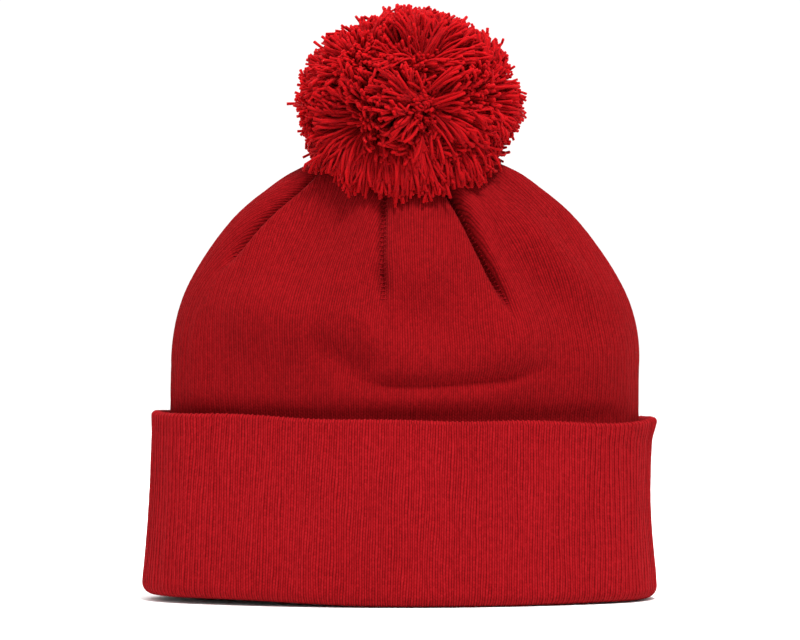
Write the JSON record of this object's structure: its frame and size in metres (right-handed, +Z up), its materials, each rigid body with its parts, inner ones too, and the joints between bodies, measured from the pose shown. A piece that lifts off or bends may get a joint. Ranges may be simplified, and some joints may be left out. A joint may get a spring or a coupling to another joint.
{
  "type": "pom pom beanie",
  "caption": "Double-knit ribbed winter hat with a deep turned-up cuff, a darted crown drawn together at the top and a cut-yarn pom on a short neck.",
  "frame": {"origin": "middle of the brim opening, on the surface that the brim fold stands on", "axes": "+Z up through the crown to the pom, +X along the width of the hat, -Y out of the front"},
  "size_m": [0.211, 0.11, 0.2466],
  "materials": {
    "crown_knit": "matte fine-ribbed acrylic knit, deep red",
    "cuff_knit": "matte fine-ribbed acrylic knit, deep red, the cloth's other face",
    "seam_thread": "matte red seam stitches",
    "tie_yarn": "matte twisted red yarn",
    "pom_yarn": "matte cut red acrylic yarn, fuzzy tips",
    "label_tape": "semi-matte white woven tape, blank",
    "label_thread": "fine white thread"
  },
  "bodies": {
    "hat": {"crown_outer_ply": "crown_knit", "crown_lining": "crown_knit", "brim_fold_face": "cuff_knit", "brim_fold_backing": "cuff_knit", "cuff_face": "cuff_knit", "cuff_backing": "cuff_knit", "cuff_top_hem": "cuff_knit", "crown_dart_seam_1": "seam_thread", "crown_dart_seam_2": "seam_thread", "crown_dart_seam_3": "seam_thread", "crown_dart_seam_4": "seam_thread", "crown_dart_seam_5": "seam_thread", "crown_dart_seam_6": "seam_thread", "lining_dart_seam_1": "seam_thread", "lining_dart_seam_2": "seam_thread", "lining_dart_seam_3": "seam_thread", "lining_dart_seam_4": "seam_thread", "lining_dart_seam_5": "seam_thread", "lining_dart_seam_6": "seam_thread", "crown_gather_yarn": "tie_yarn", "lining_gather_yarn": "tie_yarn", "pom_lower_tufts": "pom_yarn", "care_label_stitches": "label_thread"},
    "pom_anchor": {"inside_knot": "tie_yarn", "pom_anchor_yarn": "tie_yarn"},
    "pom_neck": {"pom_neck_yarn": "tie_yarn"},
    "pom": {"pom_binding": "tie_yarn", "pom_tufts": "pom_yarn"},
    "care_label_flap": {"care_label": "label_tape"}
  },
  "joints": [
    {"name": "pom_twist", "type": "hinge", "parent": "hat", "child": "pom_anchor", "pos_m": [0, 0, 0.188], "axis": [0, 0, 1], "range_deg": [-45, 45], "stiffness_Nm_per_rad": 0.004},
    {"name": "pom_tilt_front_back", "type": "hinge", "parent": "pom_anchor", "child": "pom_neck", "pos_m": [0, 0, 0.188], "axis": [1, 0, 0], "range_deg": [-11, 11], "stiffness_Nm_per_rad": 0.08},
    {"name": "pom_tilt_side", "type": "hinge", "parent": "pom_neck", "child": "pom", "pos_m": [0, 0, 0.188], "axis": [0, 1, 0], "range_deg": [-11, 11], "stiffness_Nm_per_rad": 0.08},
    {"name": "care_label_swing", "type": "hinge", "parent": "hat", "child": "care_label_flap", "pos_m": [0, 0.0424, 0.0604], "axis": [-1, 0, 0], "range_deg": [0, 100]}
  ]
}
